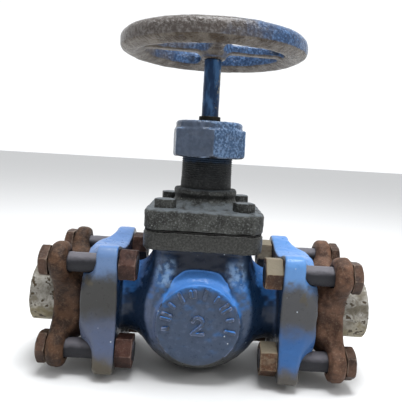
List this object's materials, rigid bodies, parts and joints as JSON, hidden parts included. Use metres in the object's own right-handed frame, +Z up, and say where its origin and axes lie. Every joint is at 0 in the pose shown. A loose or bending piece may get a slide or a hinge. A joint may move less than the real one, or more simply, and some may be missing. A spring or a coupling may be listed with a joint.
{
  "type": "globe valve",
  "caption": "Flanged globe-pattern stop valve: turning the handwheel screws a disc down onto its seat to shut off the pipe line.",
  "frame": {"origin": "middle of the small flat foot under the globe that the valve stands on, below the stem axis", "axes": "+X along the pipe from inlet to outlet, +Y horizontal across the pipe, +Z up the stem"},
  "size_m": [0.341, 0.1888, 0.3614],
  "materials": {
    "blue_paint": "thick brushed blue paint over cast iron, worn and grimy",
    "sooty_casting": "rough casting, sooty",
    "rusty_forging": "rusty, matt",
    "rusty_bolt": "rusty with worn corners",
    "galvanised": "dull galvanised, stained",
    "bright_steel": "turned steel, stained",
    "bronze": "turned bronze",
    "fibre": "graphited fibre",
    "seat_polymer": "smooth, off-white"
  },
  "bodies": {
    "valve_body": {"body": "blue_paint", "seat_ring": "bronze", "bonnet": "sooty_casting", "bonnet_gasket": "fibre", "bonnet_screw_1": "sooty_casting", "bonnet_screw_2": "sooty_casting", "bonnet_screw_3": "sooty_casting", "bonnet_screw_4": "sooty_casting", "packing_washer": "bronze", "packing_ring_1": "fibre", "packing_ring_2": "fibre", "packing_ring_3": "fibre", "gland_follower": "bronze", "packing_nut": "blue_paint", "flange_gasket_inlet": "fibre", "companion_flange_inlet": "rusty_forging", "pipe_stub_inlet": "galvanised", "flange_bolt_inlet_1": "rusty_bolt", "flange_nut_inlet_1": "rusty_bolt", "flange_bolt_inlet_2": "rusty_bolt", "flange_nut_inlet_2": "rusty_bolt", "flange_bolt_inlet_3": "rusty_bolt", "flange_nut_inlet_3": "rusty_bolt", "flange_bolt_inlet_4": "rusty_bolt", "flange_nut_inlet_4": "rusty_bolt", "flange_gasket_outlet": "fibre", "companion_flange_outlet": "rusty_forging", "pipe_stub_outlet": "galvanised", "flange_bolt_outlet_1": "rusty_bolt", "flange_nut_outlet_1": "rusty_bolt", "flange_bolt_outlet_2": "rusty_bolt", "flange_nut_outlet_2": "rusty_bolt", "flange_bolt_outlet_3": "rusty_bolt", "flange_nut_outlet_3": "rusty_bolt", "flange_bolt_outlet_4": "rusty_bolt", "flange_nut_outlet_4": "rusty_bolt"},
    "disc_assembly": {"disc": "bronze", "disc_insert": "seat_polymer", "disc_nut": "bronze"},
    "stem_assembly": {"stem": "bright_steel", "handwheel": "blue_paint", "wheel_washer": "bright_steel", "wheel_nut": "blue_paint"}
  },
  "joints": [
    {"name": "disc_lift", "type": "slide", "parent": "valve_body", "child": "disc_assembly", "axis": [0, 0, 1], "range_m": [-0.018, 0]},
    {"name": "stem_turn", "type": "hinge", "parent": "disc_assembly", "child": "stem_assembly", "pos_m": [0, 0, 0.2], "axis": [0, 0, 1], "range_deg": [-1620, 0]}
  ],
  "couplings": [
    {"joint": "disc_lift", "follows": "stem_turn", "m_per_rad": 0.0006366}
  ]
}
